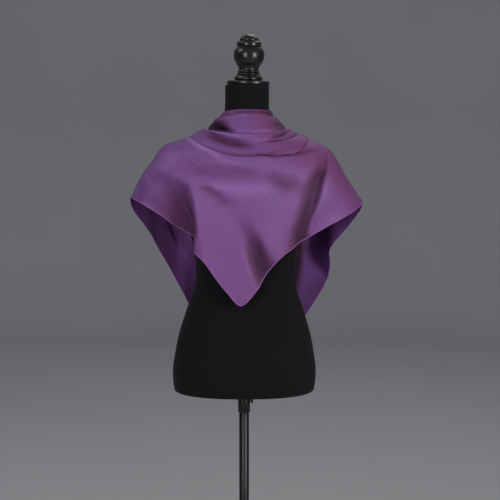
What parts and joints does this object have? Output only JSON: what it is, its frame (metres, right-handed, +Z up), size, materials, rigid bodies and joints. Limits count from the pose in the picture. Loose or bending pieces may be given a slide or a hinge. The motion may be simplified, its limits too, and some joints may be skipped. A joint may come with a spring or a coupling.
{
  "type": "silk square scarf on a dress form",
  "caption": "Square silk scarf folded into a triangle, draped in cowl folds round the neck and over the shoulders of a limbless dress form on a pole and round foot.",
  "frame": {"origin": "middle of the round foot's underside, on the floor", "axes": "+Z up along the pole, +X to the right as seen from the front, and the form faces -Y"},
  "size_m": [0.539, 0.38, 1.637],
  "materials": {
    "silk": "changeable purple silk in a plain weave, with a soft satin sheen, warmer where it faces the light",
    "jersey": "matt black cotton jersey",
    "lacquered_wood": "satin black lacquer",
    "black_metal": "semi-matt black paint"
  },
  "bodies": {
    "root": {"scarf_neck_folds": "silk", "scarf_front": "silk", "scarf_left_end": "silk", "scarf_right_end": "silk", "form_torso": "jersey", "neck_cap": "lacquered_wood", "finial": "lacquered_wood", "pole_collar": "black_metal", "thumb_knob": "black_metal", "pole": "black_metal", "base": "black_metal"}
  },
  "joints": []
}
